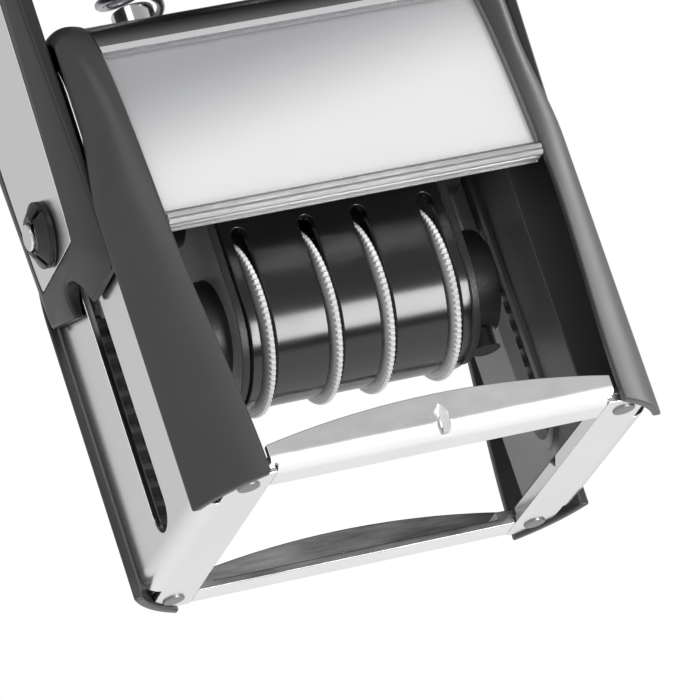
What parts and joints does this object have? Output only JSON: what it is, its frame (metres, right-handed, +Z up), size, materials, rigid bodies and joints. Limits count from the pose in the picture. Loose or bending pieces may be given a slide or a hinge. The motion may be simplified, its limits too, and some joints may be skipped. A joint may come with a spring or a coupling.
{
  "type": "self-inking date stamp",
  "caption": "Desk date stamp: a pressing bow drives a carriage that rolls over on toothed racks, from the ink pad to the paper, with thumb wheels that set the date.",
  "frame": {"origin": "middle of the base, on the paper plane that the feet of the corner trims stand on", "axes": "+X to the right seen from the front, +Y from the front to the back, +Z up towards the handle"},
  "size_m": [0.0884, 0.059, 0.152],
  "materials": {
    "frame_steel": "polished, lightly brushed",
    "rivet_steel": "satin",
    "trim_plastic": "satin",
    "liner_plastic": "satin",
    "gear_plastic": "moulded",
    "cover_metal": "satin",
    "clear_window": "clear, glossy",
    "card": "smooth card",
    "spring_steel": "drawn wire",
    "bow_plastic": "satin",
    "grip_rubber": "soft, fine grain",
    "inlay_steel": "brushed",
    "print_rubber": "ink-stained",
    "band_rubber": "matt",
    "drum_plastic": "glossy",
    "wheel_plastic": "moulded",
    "ink_felt": "inked felt"
  },
  "bodies": {
    "frame": {"side_plate_left": "frame_steel", "side_plate_right": "frame_steel", "front_rail": "frame_steel", "rear_rail": "frame_steel", "frame_rivets": "rivet_steel", "corner_trim_front_left": "trim_plastic", "corner_trim_front_right": "trim_plastic", "corner_trim_rear_left": "trim_plastic", "corner_trim_rear_right": "trim_plastic", "guide_liner_left": "liner_plastic", "guide_liner_right": "liner_plastic", "flip_rack_left": "gear_plastic", "flip_rack_right": "gear_plastic", "top_bridge": "rivet_steel", "bridge_screws": "rivet_steel", "spring_posts": "rivet_steel", "top_cover": "cover_metal", "front_window": "clear_window", "imprint_card": "card", "rear_cover": "cover_metal", "return_spring_left": "spring_steel", "return_spring_right": "spring_steel"},
    "bow": {"handle_shell": "bow_plastic", "handle_grip": "grip_rubber", "arm_left": "bow_plastic", "arm_right": "bow_plastic", "arm_inlay_left": "inlay_steel", "arm_inlay_right": "inlay_steel", "handle_screws": "rivet_steel"},
    "carriage": {"carriage_body": "liner_plastic", "flip_axle": "rivet_steel", "axle_cap_left": "liner_plastic", "axle_cap_right": "liner_plastic", "flip_sector_left": "gear_plastic", "flip_sector_right": "gear_plastic", "die_plate": "liner_plastic", "rubber_die": "print_rubber", "date_drum": "drum_plastic", "wheel_axle": "rivet_steel", "band_nose": "gear_plastic", "date_band_1": "band_rubber", "date_band_2": "band_rubber", "date_band_3": "band_rubber", "date_band_4": "band_rubber"},
    "tray": {"ink_tray": "liner_plastic", "ink_felt": "ink_felt"},
    "wheel_1": {"setting_wheel_1": "wheel_plastic"},
    "wheel_2": {"setting_wheel_2": "wheel_plastic"},
    "wheel_3": {"setting_wheel_3": "wheel_plastic"},
    "wheel_4": {"setting_wheel_4": "wheel_plastic"}
  },
  "joints": [
    {"name": "press", "type": "slide", "parent": "frame", "child": "bow", "axis": [0, 0, -1], "range_m": [0, 0.0424], "stiffness_N_per_m": 220, "springref_m": -0.03, "deforming": ["return_spring_left", "return_spring_right"]},
    {"name": "flip", "type": "hinge", "parent": "bow", "child": "carriage", "pos_m": [0, 0, 0.0552], "axis": [1, 0, 0], "range_deg": [0, 180]},
    {"name": "wheel_turn_1", "type": "hinge", "parent": "carriage", "child": "wheel_1", "pos_m": [-0.0156, 0, 0.0337], "axis": [1, 0, 0], "continuous": true},
    {"name": "wheel_turn_2", "type": "hinge", "parent": "carriage", "child": "wheel_2", "pos_m": [-0.0044, 0, 0.0337], "axis": [1, 0, 0], "continuous": true},
    {"name": "wheel_turn_3", "type": "hinge", "parent": "carriage", "child": "wheel_3", "pos_m": [0.0044, 0, 0.0337], "axis": [1, 0, 0], "continuous": true},
    {"name": "wheel_turn_4", "type": "hinge", "parent": "carriage", "child": "wheel_4", "pos_m": [0.0156, 0, 0.0337], "axis": [1, 0, 0], "continuous": true},
    {"name": "tray_slide", "type": "slide", "parent": "frame", "child": "tray", "axis": [0, 1, 0], "range_m": [0, 0.04]}
  ],
  "couplings": [
    {"joint": "flip", "follows": "press", "rad_per_m": 74.074}
  ]
}
